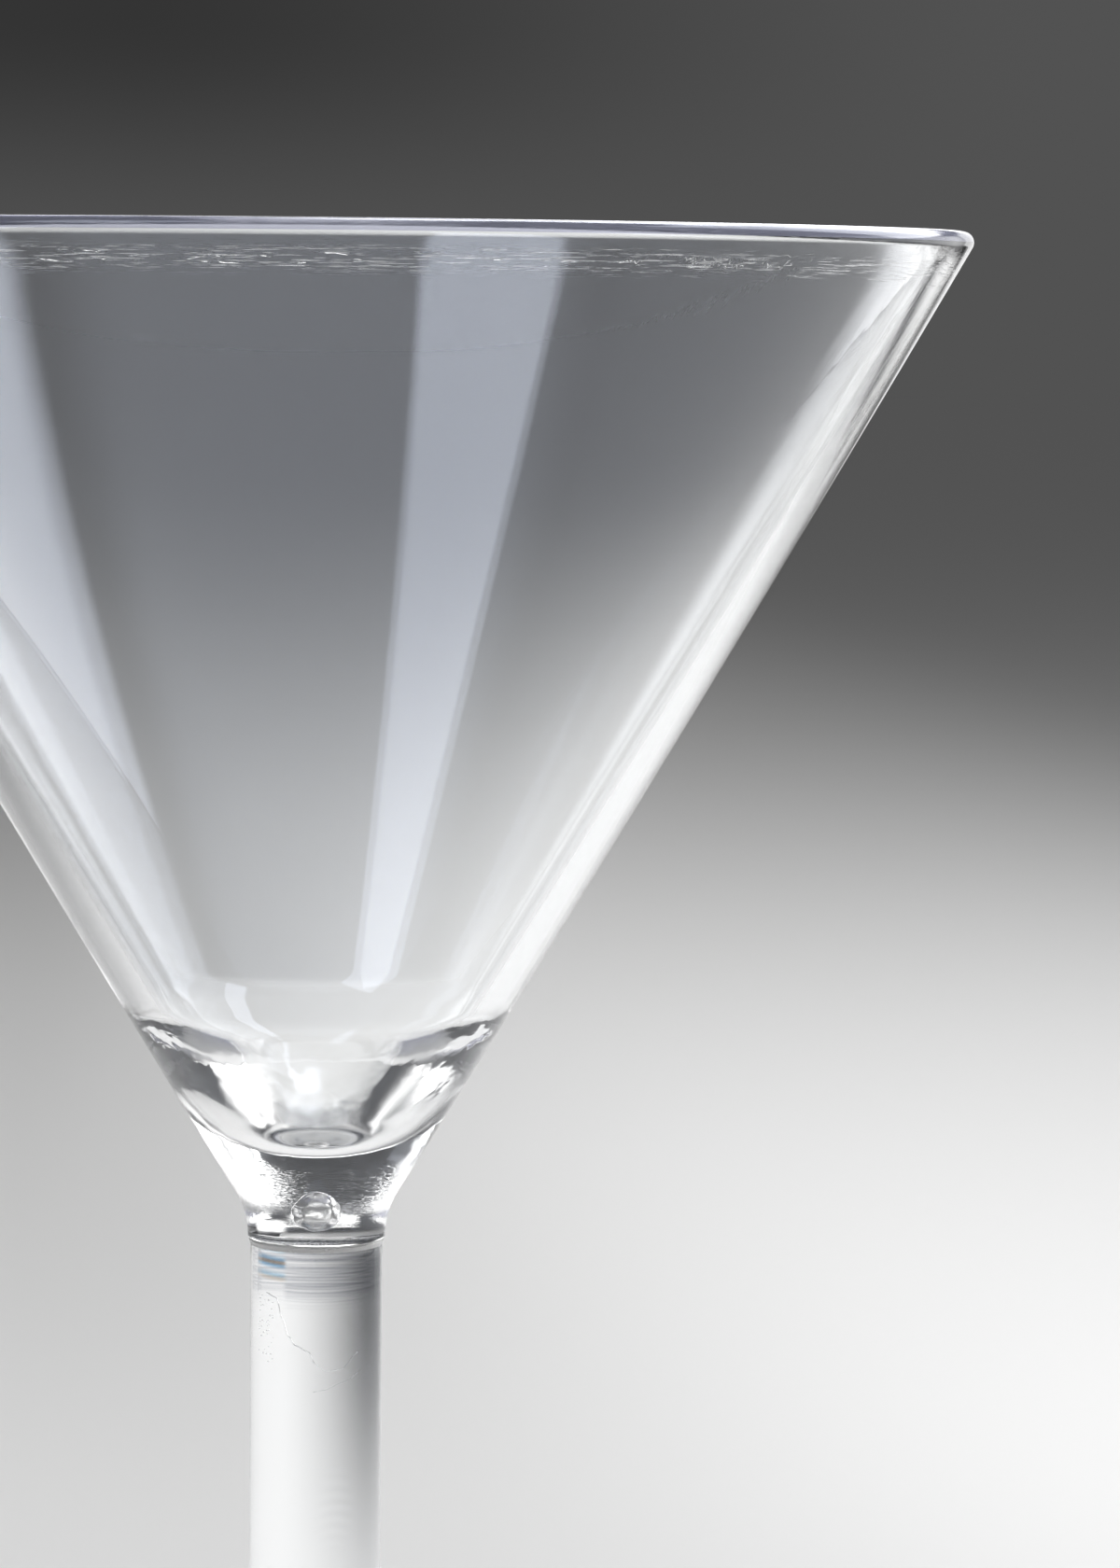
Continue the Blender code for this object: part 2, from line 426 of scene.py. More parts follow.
def addAirBubble(piece, place, radii, lumps, seed):
    # a hollow is a closed shell with its faces turned to the air inside it
    deselectAll()
    steps = bubbleSteps["lumpy" if lumps else "plain"]
    bpy.ops.mesh.primitive_ico_sphere_add(subdivisions=steps, radius=1.0, location=(0, 0, 0))
    bubble = bpy.context.object
    bpy.ops.object.mode_set(mode="EDIT")
    bpy.ops.mesh.select_all(action="SELECT")
    bpy.ops.transform.resize(value=radii)
    if lumps:
        bpy.ops.transform.vertex_random(offset=lumps, uniform=0.0, normal=1.0, seed=seed)
    bpy.ops.transform.translate(value=place)
    bpy.ops.mesh.normals_make_consistent(inside=True)
    bpy.ops.object.mode_set(mode="OBJECT")
    if lumps:
        bpy.ops.object.modifier_add(type="SUBSURF")
        bubble.modifiers[-1].levels = bubbleSteps["smoothing"]
        bubble.modifiers[-1].render_levels = bubbleSteps["smoothing"]
        bpy.ops.object.modifier_apply(modifier=bubble.modifiers[-1].name)
    bpy.ops.object.shade_smooth()
    piece.select_set(True)
    bpy.context.view_layer.objects.active = piece
    bpy.ops.object.join()


# Where bowl and stem are bonded, light goes straight through, but for grey specks left in the bond;
# a face within faceGap of the joint's plane counts as bonded if it is level to faceTilt, with 1 as level
weldFinish = {
    "tint": "#FFFFFF",
    "speckTint": "#77787A",
    "reflectionTint": "#FFFFFF",
    "ior": 1.0,
    "speckSize": 0.22,
    "speckCut": (0.42, 0.60),
    "faceGap": 0.005,
    "faceTilt": 0.9,
}


def makeWeldFace():
    material, tree, shader = startPlastic("solventBondedFace", weldFinish)
    place = addNode(tree, "ShaderNodeTexCoord").outputs["Object"]
    specks = addNode(tree, "ShaderNodeMapRange", {
        1: weldFinish["speckCut"][0],
        2: weldFinish["speckCut"][1],
    }, {0: addGrain(tree, place, [weldFinish["speckSize"]] * 3, detail=2.0)})
    tint = addNode(tree, "ShaderNodeMix", {
        "data_type": "RGBA",
        6: toLinear(weldFinish["tint"]),
        7: toLinear(weldFinish["speckTint"]),
    }, {0: specks.outputs[0]})
    tree.links.new(tint.outputs[2], shader.inputs["Base Color"])
    shader.inputs["Roughness"].default_value = 0.0
    return material


weldFace = makeWeldFace()


def weldPiece(piece, faceZ):
    # the faces of the joint's plane, inside the bonded radius, take the bond's look
    piece.data.materials.append(weldFace)
    for face in piece.data.polygons:
        inPlane = abs(face.center.z - faceZ) < weldFinish["faceGap"] * mm
        isLevel = abs(face.normal.z) > weldFinish["faceTilt"]
        if inPlane and isLevel and face.center.xy.length < weldRadius:
            face.material_index = 1


# The lip was buffed: its top is a little milky, so it shows as a pale line against the dark wall
lipFinish = {
    "tint": "#D2D5F0",
    "reflectionTint": "#E4ECFF",
    "ior": 1.57,
    "clear": 0.62,
    "depth": 0.95,
    "roughness": 0.06,
    "buffSize": (0.9, 0.9, 0.12),
    "buffHeight": 0.002,
}


def makeLipLook():
    material, tree, shader = startPlastic("styreneBuffedLip", lipFinish)
    place = addNode(tree, "ShaderNodeTexCoord").outputs["Object"]
    shader.inputs["Transmission Weight"].default_value = lipFinish["clear"]
    shader.inputs["Roughness"].default_value = lipFinish["roughness"]
    buffing = addGrain(tree, place, lipFinish["buffSize"], detail=2.0)
    addRelief(tree, shader, [(buffing, None, lipFinish["buffHeight"] * mm)])
    return material


def finishLipAndVoid(piece):
    lipIndex = len(piece.data.materials)
    piece.data.materials.append(makeLipLook())
    piece.data.materials.append(makeVoidLook())
    voidZ = jointZ + voidSizes["height"] * mm
    voidReach = voidSizes["lookReach"] * voidSizes["tall"] * mm
    for face in piece.data.polygons:
        nearAxis = face.center.xy.length < voidSizes["width"] * mm
        if face.center.z > rimZ - lipFinish["depth"] * mm:
            face.material_index = lipIndex
        elif nearAxis and abs(face.center.z - voidZ) < voidReach:
            face.material_index = lipIndex + 1


bowl = turnOnLathe("bowl_shell", bowlOutline(), bowlSizes["turnSteps"])
addAirBubble(
    bowl,
    (0, 0, jointZ + voidSizes["height"] * mm),
    [voidSizes[size] / 2 * mm for size in ("width", "width", "tall")],
    voidSizes["lumps"] * mm,
    voidSizes["lumpSeed"],
)
finishPiece(bowl, makeBowlPlastic(), ["bowl"])
weldPiece(bowl, jointZ)
finishLipAndVoid(bowl)
print("bowl finished")

# Stem: sizes in millimetres
stemSizes = {
    "edgeChamfer": 0.3,
    "weldGap": 0.02,
    "topRound": 0.6,
    "arcSteps": 6,
    "lengthSteps": 24,
    "turnSteps": 192,
}


def stemOutline():
    chamfer = stemSizes["edgeChamfer"] * mm
    topZ = jointZ - stemSizes["weldGap"] * mm
    bottomZ = stemBottomZ
    corners = [(0, bottomZ, 0), (stemRadius, bottomZ, chamfer)]
    for step in range(1, stemSizes["lengthSteps"]):
        corners.append((stemRadius, bottomZ + (topZ - bottomZ) * step / stemSizes["lengthSteps"], 0))
    corners += [(stemRadius, topZ, stemSizes["topRound"] * mm), (0, topZ, 0)]
    return roundedOutline(corners, stemSizes["arcSteps"])


# The rod was drawn through a die, so faint lines run along it, and a thumb mark catches the light
rodFinish = {
    "drawWidth": 0.35,
    "drawLength": 60.0,
    "drawHeight": 0.0006,
    "markPlace": (1.7, -5.75, 59.5),
    "markReach": (2.2, 2.2, 4.6),
    "markFade": (1.0, 0.4),
    "ridgeSpacing": 1.1,
    "ridgeCentreDrop": 5.0,
    "ridgeWaver": 3.0,
    "ridgeWaverScale": 0.6,
    "ridgeHeight": 0.004,
    "smearSize": 7.0,
    "smearRoughness": 0.04,
}


def makeRodPlastic():
    material, tree, shader = startPlastic("styreneDrawnRod", clearStyrene)
    finish = rodFinish
    place = addNode(tree, "ShaderNodeTexCoord").outputs["Object"]
    draw = addGrain(tree, place, (finish["drawWidth"], finish["drawWidth"], finish["drawLength"]))
    # a thumb mark: curved ridges that fade out away from its middle
    middle = [value * mm for value in finish["markPlace"]]
    moved = addNode(tree, "ShaderNodeVectorMath", {"operation": "SUBTRACT", 1: middle}, {0: place})
    fromCentre = addNode(tree, "ShaderNodeVectorMath", {
        "operation": "ADD",
        1: (0, 0, finish["ridgeCentreDrop"] * mm),
    }, {0: moved.outputs[0]})
    # at scale 1 this texture has 20 radians of wave in a metre
    waveRadians = 20
    ridges = addNode(tree, "ShaderNodeTexWave", {
        "wave_type": "RINGS",
        "rings_direction": "Y",
        "Scale": 2 * math.pi / (waveRadians * finish["ridgeSpacing"] * mm),
        "Distortion": finish["ridgeWaver"],
        "Detail": 1.0,
        "Detail Scale": finish["ridgeWaverScale"],
    }, {"Vector": fromCentre.outputs[0]})
    fitted = addNode(tree, "ShaderNodeVectorMath", {
        "operation": "DIVIDE",
        1: [value * mm for value in finish["markReach"]],
    }, {0: moved.outputs[0]})
    fromMiddle = addNode(tree, "ShaderNodeVectorMath", {"operation": "LENGTH"}, {0: fitted.outputs[0]})
    onMark = addNode(tree, "ShaderNodeMapRange", {
        1: finish["markFade"][0],
        2: finish["markFade"][1],
    }, {0: fromMiddle.outputs["Value"]}).outputs[0]
    addRelief(tree, shader, [
        (draw, None, finish["drawHeight"] * mm),
        (ridges.outputs["Fac"], onMark, finish["ridgeHeight"] * mm),
    ])
    smears = addSmears(tree, place, finish["smearSize"], finish["smearRoughness"])
    tree.links.new(smears, shader.inputs["Roughness"])
    return material


# Cement of the joints: sizes in millimetres, turns in degrees from the front, depths from the joint face
cementSizes = {
    "wall": 0.30,
    "startDepth": 0.35,
    "blankLength": 2.0,
    "steps": 144,
    "front": (
        (-180, 8.0), (-140, 7.0), (-100, 4.9), (-70, 4.9), (-52, 5.2), (-43, 7.0), (-34, 8.6), (-25, 9.4),
        (-9, 9.9), (-1, 11.0), (12, 11.7), (30, 11.6), (56, 10.2), (80, 9.2), (120, 9.2), (180, 8.0),
    ),
    "seamTurns": (-70, 56),
    "seamStep": 2,
    "seamRadius": 0.04,
    "seamFineness": 2,
    "seamMergeGap": 0.001,
    "lowSeam": ((-3, 13.6), (12, 13.4), (28, 12.9), (43, 12.6), (56, 12.0)),
    "lowSeamRadius": 0.024,
    "bubbles": 46,
    "bubbleSeed": 7,
    "bubbleOut": 0.1,
    "bubbleFlat": 0.6,
    "bubbleTurns": (-86, -52),
    "bubbleDepths": (5.2, 11.2),
    "bubbleRadius": (0.04, 0.10),
    "beadInner": 5.75,
    "beadOuter": 6.16,
    "beadLow": 0.66,
    "beadClear": 0.04,
    "beadRound": 0.2,
}


def onCircle(turn, radius, height):
    return (radius * math.sin(math.radians(turn)), -radius * math.cos(math.radians(turn)), height)


def frontDepth(turn):
    for (turnA, depthA), (turnB, depthB) in zip(cementSizes["front"], cementSizes["front"][1:]):
        if turnA <= turn <= turnB:
            share = (turn - turnA) / (turnB - turnA)
            share = share * share * (3 - 2 * share)
            return (depthA + (depthB - depthA) * share) * mm
    return cementSizes["front"][0][1] * mm


def addAirSeam(piece, points, radius):
    # a fine air channel along the cement's front, swept round a path and joined to the piece as a hollow
    deselectAll()
    bpy.ops.mesh.primitive_plane_add(size=mm)
    bpy.ops.object.mode_set(mode="EDIT")
    bpy.ops.mesh.select_all(action="SELECT")
    bpy.ops.mesh.merge(type="CENTER")
    bpy.ops.transform.translate(value=points[0])
    for here, there in zip(points, points[1:]):
        bpy.ops.mesh.extrude_vertices_move(TRANSFORM_OT_translate={"value": Vector(there) - Vector(here)})
    bpy.ops.object.mode_set(mode="OBJECT")
    bpy.ops.object.convert(target="CURVE")
    path = bpy.context.object.data
    path.bevel_depth = radius
    path.bevel_resolution = cementSizes["seamFineness"]
    path.use_fill_caps = True
    bpy.ops.object.convert(target="MESH")
    bpy.ops.object.mode_set(mode="EDIT")
    bpy.ops.mesh.select_all(action="SELECT")
    bpy.ops.mesh.remove_doubles(threshold=cementSizes["seamMergeGap"] * mm)
    bpy.ops.mesh.normals_make_consistent(inside=True)
    bpy.ops.object.mode_set(mode="OBJECT")
    bpy.ops.object.shade_smooth()
    piece.select_set(True)
    bpy.context.view_layer.objects.active = piece
    bpy.ops.object.join()


stem = turnOnLathe("stem_rod", stemOutline(), stemSizes["turnSteps"])
seamR = cementRadius + 2 * cementSizes["seamRadius"] * mm
firstTurn, lastTurn = cementSizes["seamTurns"]
seamTurns = range(firstTurn, lastTurn + 1, cementSizes["seamStep"])
addAirSeam(
    stem,
    [onCircle(turn, seamR, jointZ - frontDepth(turn)) for turn in seamTurns],
    cementSizes["seamRadius"] * mm,
)
addAirSeam(
    stem,
    [onCircle(turn, seamR, jointZ - depth * mm) for turn, depth in cementSizes["lowSeam"]],
    cementSizes["lowSeamRadius"] * mm,
)
dice = random.Random(cementSizes["bubbleSeed"])
bubbleR = seamR + cementSizes["bubbleOut"] * mm
for number in range(cementSizes["bubbles"]):
    turn = dice.uniform(*cementSizes["bubbleTurns"])
    depth = dice.uniform(*cementSizes["bubbleDepths"]) * mm
    size = dice.uniform(*cementSizes["bubbleRadius"]) * mm
    radii = (size, size, cementSizes["bubbleFlat"] * size)
    addAirBubble(stem, onCircle(turn, bubbleR, jointZ - depth), radii, 0, number)
finishPiece(stem, makeRodPlastic(), ["stem"])
weldPiece(stem, jointZ - stemSizes["weldGap"] * mm)
print("stem finished")

# Solvent cement, cured clear: it refracts as the plastic round it does, so it shows only by the grey
# turning marks of the bore that it fills and, at the upper left, by painted colours of a thin film, set
# into its tint in place of the interference colours that light makes in the film
cementFinish = {
    "tint": "#FFFFFF",
    "reflectionTint": "#FFFFFF",
    "ior": 1.0,
    "ringSpacing": 0.30,
    "ringLength": 40.0,
    "ringCut": (0.38, 0.62),
    "ringHeight": 0.080,
    "ringFade": (4.2, 6.6),
    "ringTint": "#D0D1D5",
    "hazeSize": 1.5,
    "hazeRoughness": 0.08,
    "paintedFilmTurns": (-98, -88, -46, -38),
    "paintedFilmDepths": (0.6, 4.0),
    "paintedFilmColours": (
        (0.00, "#FFFFFF"), (0.10, "#BFD9E8"), (0.22, "#FFFFFF"), (0.35, "#8FB2CC"), (0.43, "#A08A72"),
        (0.51, "#86B0CE"), (0.62, "#FFFFFF"), (0.76, "#B4D0E2"), (0.84, "#E2D8CC"), (0.94, "#FFFFFF"),
    ),
}


def makeCementLook(name, faceZ, outward):
    material, tree, shader = startPlastic(name, cementFinish)
    finish = cementFinish
    place = addNode(tree, "ShaderNodeTexCoord").outputs["Object"]
    split = addNode(tree, "ShaderNodeSeparateXYZ", links={"Vector": place})
    depth = addNode(tree, "ShaderNodeMath", {
        "operation": "MULTIPLY_ADD",
        1: outward / mm,
        2: -outward * faceZ / mm,
    }, {0: split.outputs["Z"]}).outputs[0]
    ringSize = (finish["ringLength"], finish["ringLength"], finish["ringSpacing"])
    rings = addGrain(tree, place, ringSize, detail=3.0)
    ringed = addBand(tree, depth, noStart, finish["ringFade"])
    addRelief(tree, shader, [(rings, ringed, finish["ringHeight"] * mm)])
    # turn from the front, positive to the right
    front = addNode(tree, "ShaderNodeMath", {"operation": "MULTIPLY", 1: -1.0}, {0: split.outputs["Y"]})
    turn = addNode(tree, "ShaderNodeMath", {"operation": "ARCTAN2"}, {
        0: split.outputs["X"],
        1: front.outputs[0],
    })
    # painted interference colours of a thin film, laid on the upper left of the cement as a fixed tint
    turns = [math.radians(value) for value in finish["paintedFilmTurns"]]
    onPaintedFilm = addBand(tree, turn.outputs[0], turns[:2], turns[2:])
    along = addNode(tree, "ShaderNodeMapRange", {
        1: finish["paintedFilmDepths"][0],
        2: finish["paintedFilmDepths"][1],
    }, {0: depth})
    ramp = addNode(tree, "ShaderNodeValToRGB", links={"Fac": along.outputs[0]})
    stops = ramp.color_ramp.elements
    while len(stops) < len(finish["paintedFilmColours"]):
        stops.new(1.0)
    for stop, (where, colour) in zip(stops, finish["paintedFilmColours"]):
        stop.position = where
        stop.color = toLinear(colour)
    greyness = addNode(tree, "ShaderNodeMapRange", {
        1: finish["ringCut"][0],
        2: finish["ringCut"][1],
    }, {0: rings}).outputs[0]
    greyRings = addNode(tree, "ShaderNodeMath", {"operation": "MULTIPLY"}, {0: greyness, 1: ringed})
    tint = addNode(tree, "ShaderNodeMix", {
        "data_type": "RGBA",
        6: toLinear(finish["tint"]),
        7: toLinear(finish["ringTint"]),
    }, {0: greyRings.outputs[0]})
    tint = addNode(tree, "ShaderNodeMix", {"data_type": "RGBA"}, {
        0: onPaintedFilm,
        6: tint.outputs[2],
        7: ramp.outputs["Color"],
    })
    tree.links.new(tint.outputs[2], shader.inputs["Base Color"])
    smears = addSmears(tree, place, finish["hazeSize"], finish["hazeRoughness"])
    tree.links.new(smears, shader.inputs["Roughness"])
    return material


def makeCementSleeve(name, faceZ, outward):
    # a short tube whose far edge is moved to the wavy front, then given its wall
    sizes = cementSizes
    start = faceZ + outward * sizes["startDepth"] * mm
    deselectAll()
    bpy.ops.mesh.primitive_cylinder_add(
        vertices=sizes["steps"],
        radius=cementRadius,
        depth=sizes["blankLength"] * mm,
        end_fill_type="NOTHING",
        location=(0, 0, 0),
    )
    sleeve = bpy.context.object
    sleeve.name = name
    sleeve.data.name = name
    for vertex in sleeve.data.vertices:
        turn = math.degrees(math.atan2(vertex.co.x, -vertex.co.y))
        atFront = vertex.co.z * outward > 0
        vertex.co.z = faceZ + outward * frontDepth(turn) if atFront else start
    bpy.ops.object.mode_set(mode="EDIT")
    bpy.ops.mesh.select_all(action="SELECT")
    bpy.ops.mesh.normals_make_consistent(inside=False)
    bpy.ops.object.mode_set(mode="OBJECT")
    bpy.ops.object.modifier_add(type="SOLIDIFY")
    sleeve.modifiers[-1].thickness = sizes["wall"] * mm
    sleeve.modifiers[-1].offset = -1
    bpy.ops.object.modifier_apply(modifier=sleeve.modifiers[-1].name)
    bpy.ops.object.shade_smooth_by_angle(angle=math.radians(latheSizes["smoothAngle"]))
    return sleeve


# Cement that was pressed out of the joint and dried: a milky, uneven bead round the joint's edge
beadFinish = {
    "tint": "#FFFFFF",
    "reflectionTint": "#FFFFFF",
    "ior": 1.45,
    "lumpSize": 0.8,
    "lumpHeight": 0.06,
    "hazeSize": 1.2,
    "hazeRoughness": 0.5,
    "clear": 0.15,
}


def makeBeadLook():
    material, tree, shader = startPlastic("solventCementBead", beadFinish)
    finish = beadFinish
    shader.inputs["Transmission Weight"].default_value = finish["clear"]
    place = addNode(tree, "ShaderNodeTexCoord").outputs["Object"]
    lumps = addGrain(tree, place, [finish["lumpSize"]] * 3, detail=2.0)
    addRelief(tree, shader, [(lumps, None, finish["lumpHeight"] * mm)])
    smears = addSmears(tree, place, finish["hazeSize"], finish["hazeRoughness"])
    tree.links.new(smears, shader.inputs["Roughness"])
    return material


def beadOutline():
    sizes = {key: value * mm for key, value in cementSizes.items() if key.startswith("bead")}
    high = jointZ - sizes["beadClear"]
    low = jointZ - sizes["beadLow"]
    return roundedOutline([
        (sizes["beadInner"], high, 0),
        (stemRadius - sizes["beadClear"] * 2, (low + high) / 2 + sizes["beadClear"] * 2, 0),
        (stemRadius + sizes["beadClear"], low, 0),
        (sizes["beadOuter"], high - sizes["beadRound"], sizes["beadRound"] / 2),
        (stemRadius + sizes["beadClear"], high, 0),
        (sizes["beadInner"], high, 0),
    ], stemSizes["arcSteps"])


footJointZ = stemBottomZ - bowlSizes["jointGap"] * mm
upperCement = makeCementSleeve("cement_upper", jointZ, -1)
upperLook = makeCementLook("solventCementUpper", jointZ, -1)
finishPiece(upperCement, upperLook, ["bowl_cement"])
lowerCement = makeCementSleeve("cement_lower", footJointZ, 1)
lowerLook = makeCementLook("solventCementLower", footJointZ, 1)
finishPiece(lowerCement, lowerLook, ["foot_cement"])
bead = turnOnLathe("cement_bead", beadOutline(), stemSizes["turnSteps"])
finishPiece(bead, makeBeadLook(), [])
print("cement finished")

# Foot: sizes in millimetres
footSizes = {
    "edgeHeight": 2.4,
    "domeRise": 1.6,
    "neckHeight": 4.5,
    "neckStep": 0.25,
    "neckLand": 0.2,
    "topRound": 1.0,
    "bottomRound": 0.6,
    "ringWidth": 6.4,
    "recessDepth": 0.8,
    "recessRound": 0.5,
    "arcSteps": 12,
    "turnSteps": 288,
}


def footOutline():
    sizes = {key: value * mm for key, value in footSizes.items()}
    neckR = stemRadius + sizes["neckStep"]
    domeZ = sizes["edgeHeight"] + sizes["domeRise"]
    land = (neckR, domeZ + sizes["neckHeight"], 0)
    dome = (neckR, domeZ)
    edge = (footRadius, sizes["edgeHeight"], sizes["topRound"])
    neckFillet = filletFor(sizes["neckHeight"] - sizes["neckLand"], land, dome, edge)
    ringInner = footRadius - sizes["bottomRound"] - sizes["ringWidth"]
    corners = [
        (0, land[1], 0),
        land,
        (*dome, neckFillet),
        edge,
        (footRadius, 0, sizes["bottomRound"]),
        (ringInner, 0, 0),
        (ringInner - sizes["recessDepth"], sizes["recessDepth"], sizes["recessRound"]),
        (0, sizes["recessDepth"], 0),
    ]
    return roundedOutline(corners, footSizes["arcSteps"])


# The foot is moulded like the bowl, with soft ripples; tables have scuffed its standing ring dull
footFinish = {
    "rippleSize": 12.0,
    "rippleHeight": 0.004,
    "scuffSize": 0.5,
    "scuffRoughness": 0.25,
    "scuffFade": (0.1, 0.3),
    "smearSize": 9.0,
    "smearRoughness": 0.03,
}


def makeFootPlastic():
    material, tree, shader = startPlastic("styreneFootMoulding", clearStyrene)
    finish = footFinish
    place = addNode(tree, "ShaderNodeTexCoord").outputs["Object"]
    split = addNode(tree, "ShaderNodeSeparateXYZ", links={"Vector": place})
    ripple = addGrain(tree, place, [finish["rippleSize"]] * 3)
    addRelief(tree, shader, [(ripple, None, finish["rippleHeight"] * mm)])
    smear = addSmears(tree, place, finish["smearSize"], finish["smearRoughness"])
    scuff = addSmears(tree, place, finish["scuffSize"], finish["scuffRoughness"])
    low = addBand(tree, split.outputs["Z"], noStart, [value * mm for value in finish["scuffFade"]])
    scuffed = addNode(tree, "ShaderNodeMath", {"operation": "MULTIPLY"}, {0: scuff, 1: low})
    worn = addNode(tree, "ShaderNodeMath", {"operation": "MAXIMUM"}, {0: smear, 1: scuffed.outputs[0]})
    tree.links.new(worn.outputs[0], shader.inputs["Roughness"])
    return material


foot = turnOnLathe("foot_disc", footOutline(), footSizes["turnSteps"])
finishPiece(foot, makeFootPlastic(), ["foot"])
print("foot finished")

# Studio: a pale floor in a dim room, lit by softboxes; places in metres, radiance with 1 as white
studio = {
    "floorColour": "#EBEBEB",
    "floorRoughness": 0.9,
    "floorRadius": 9.0,
    "floorSteps": 96,
    "roomColour": "#525252",
    "fillColour": "#5A5A5A",
    "shadeColour": "#4A4A4A",
    # painted light on the floor, shown only through the glass: a painted dim shade behind on the left,
    # running over to painted white on the right and by the foot
    "paintedShadeTurn": -45,
    "paintedShadeTone": 0.12,
    "paintedWhiteTurn": 25,
    "paintedWhiteByFoot": (0.08, 0.42),
    "paintedLightEnd": (0.48, 0.60),
    "paintedLightFront": (-0.12, -0.06),
    # a painted black shade on the floor, shown through the glass and in its reflections
    "paintedSideShadeAcross": (0.152, 0.185, 0.80, 0.90),
    "paintedSideShadeSlant": 0.235,
    "paintedSideShadeReach": (0.64, 0.72, 1.90, 2.20),
    "paintedSideShadeTone": 0.01,
    "cornerColour": "#343434",
    "cornerAcross": (-0.6, -0.3, -0.04, 0.14),
    "cornerUp": (0.0, 0.05, 0.3, 0.5),
    "roomBehind": (0.75, 0.97),
}
softboxes = {
    # name: centre, point it faces, width, height, roll in degrees, radiance, soft edge, rays that see it
    "overheadLeft": (
        (-0.545, -0.44, 1.11), (0, 0, 0.13), 0.45, 0.53, 0, 2.9, 0.06, "diffuse glossy transmission",
    ),
    "rightPanel": (
        (0.68, 0.44, 0.83), (0, 0.44, 0.83), 0.80, 1.08, 24.6, 3.2, 0.06, "diffuse glossy transmission",
    ),
    "rightGlow": ((0.69, 0.44, 0.83), (0, 0.44, 0.83), 0.80, 1.08, 24.6, 1.0, 0.06, "glossy"),
    "floorWash": ((0.25, 0.05, 1.25), (0.25, 0.05, 0), 0.95, 0.55, 0, 4.4, 0.20, "diffuse"),
    "nearWash": ((0.0, 0.21, 0.18), (0.0, 0.21, 0), 0.36, 0.20, 0, 0.34, 0.10, "diffuse"),
    "overheadRight": ((0.50, 0.12, 1.25), (0.50, 0.12, 0), 0.55, 0.70, 0, 4.4, 0.10, "transmission"),
    "overheadWide": ((0.32, 0.42, 1.25), (0.32, 0.42, 0), 0.86, 1.06, 0, 9.0, 0.20, "glossy"),
    "overheadBack": ((0.55, 1.05, 0.95), (0, 0, 0.17), 1.20, 0.90, 0, 5.0, 0.20, "glossy"),
    "edgeCard": ((0.42, 1.20, 0.24), (0.05, 0, 0.17), 0.44, 0.44, 0, 1.1, 0.15, "glossy"),
    "leftStrip": ((-0.74, 0.22, 0.30), (0, 0, 0.11), 0.95, 0.27, -20, 1.8, 0.30, "transmission"),
    "backCard": ((0, 5.0, 0.61), (0, 0, 0.12), 5.8, 0.30, 0, 1.3, 0.20, "transmission"),
    "lowRight": ((0.526, 0.329, 0.17), (0, 0, 0.17), 0.80, 0.34, 0, 1.5, 0.25, "glossy"),
    "lowBack": ((0.36, 0.51, 0.15), (0, 0, 0.11), 0.42, 0.26, 0, 1.5, 0.22, "transmission"),
    "backLeft": ((-0.14, 1.35, 0.55), (0, 0, 0.13), 1.30, 0.60, 0, 2.6, 0.25, "glossy transmission"),
    "frontFill": ((0, -1.5, 1.7), (0, -1.5, 0), 5.0, 2.6, 0, 0.5, 0.15, "glossy"),
    "frontLift": ((0, -1.5, 1.71), (0, -1.5, 0), 5.0, 2.6, 0, 0.85, 0.15, "transmission"),
}
beam = {
    "place": (0.25, -1.80, 0.40),
    "faces": (0.135, 0.84, 0),
    "cone": 9.2,
    "blend": 1.0,
    "power": 400,
    "radius": 0.05,
}


